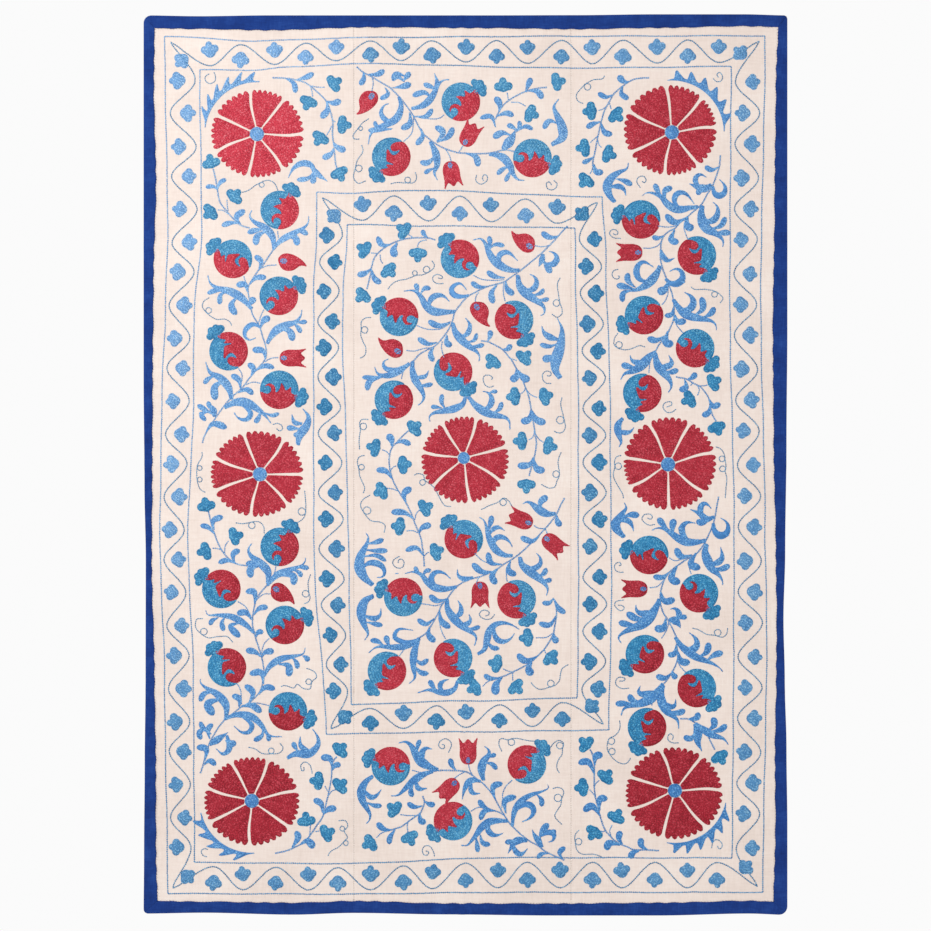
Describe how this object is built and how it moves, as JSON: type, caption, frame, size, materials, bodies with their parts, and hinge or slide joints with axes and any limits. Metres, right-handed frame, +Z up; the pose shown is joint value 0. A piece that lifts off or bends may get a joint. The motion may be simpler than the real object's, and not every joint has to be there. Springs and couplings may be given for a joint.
{
  "type": "suzani embroidered textile",
  "caption": "Large rectangular embroidered cotton textile of joined loom-width panels in a folded, mitred binding, lying flat and face up.",
  "frame": {"origin": "middle of the underside, on the surface that the textile lies on", "axes": "+Y along the length towards the top of the design, +X across the width to the right, +Z up out of the embroidered face"},
  "size_m": [1.5, 2.1, 0.0055],
  "materials": {
    "undyed_cotton_ground": "hand-woven plain-weave cotton, undyed cream",
    "royal_blue_cotton_binding": "plain-weave cotton, royal blue, folded and slightly puckered",
    "crimson_silk_thread": "loosely twisted silk in chain stitch, crimson",
    "blue_silk_thread": "loosely twisted silk in chain stitch, mid blue"
  },
  "bodies": {
    "root": {"ground_left": "undyed_cotton_ground", "ground_centre": "undyed_cotton_ground", "ground_right": "undyed_cotton_ground", "binding_left": "royal_blue_cotton_binding", "binding_right": "royal_blue_cotton_binding", "binding_bottom": "royal_blue_cotton_binding", "binding_top": "royal_blue_cotton_binding"}
  },
  "joints": []
}
